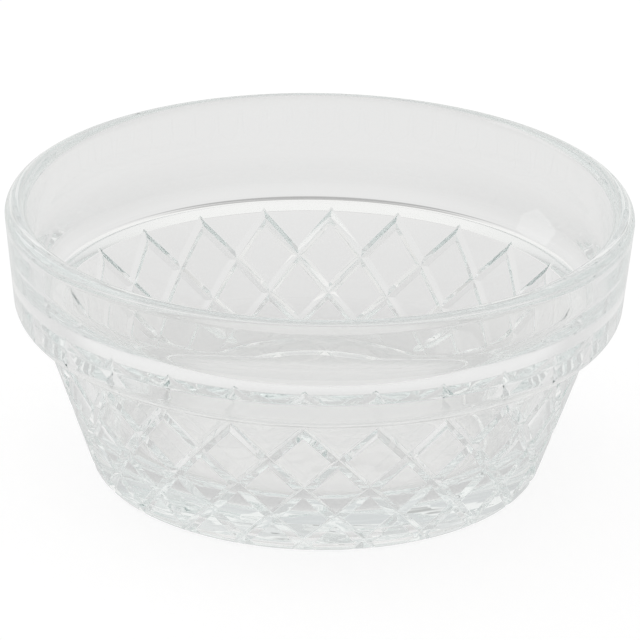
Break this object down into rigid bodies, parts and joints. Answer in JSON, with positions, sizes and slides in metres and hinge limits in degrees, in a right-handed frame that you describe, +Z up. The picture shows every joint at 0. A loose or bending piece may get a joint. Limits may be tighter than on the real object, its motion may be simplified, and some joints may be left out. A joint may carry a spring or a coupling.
{
  "type": "glass bowl",
  "caption": "Round stacking bowl of clear pressed glass: plain rim band over a shoulder, tapering wall cut with a lattice of crossing V-grooves, thick floor and a flat ring to stand on.",
  "frame": {"origin": "centre of the ring that the bowl stands on, on the table plane", "axes": "+Z up along the bowl's own axis of revolution; -Y is the side that faces the camera"},
  "size_m": [0.12, 0.12, 0.0537],
  "materials": {
    "clear_glass": "polished"
  },
  "bodies": {
    "root": {"glass_bowl": "clear_glass"}
  },
  "joints": []
}
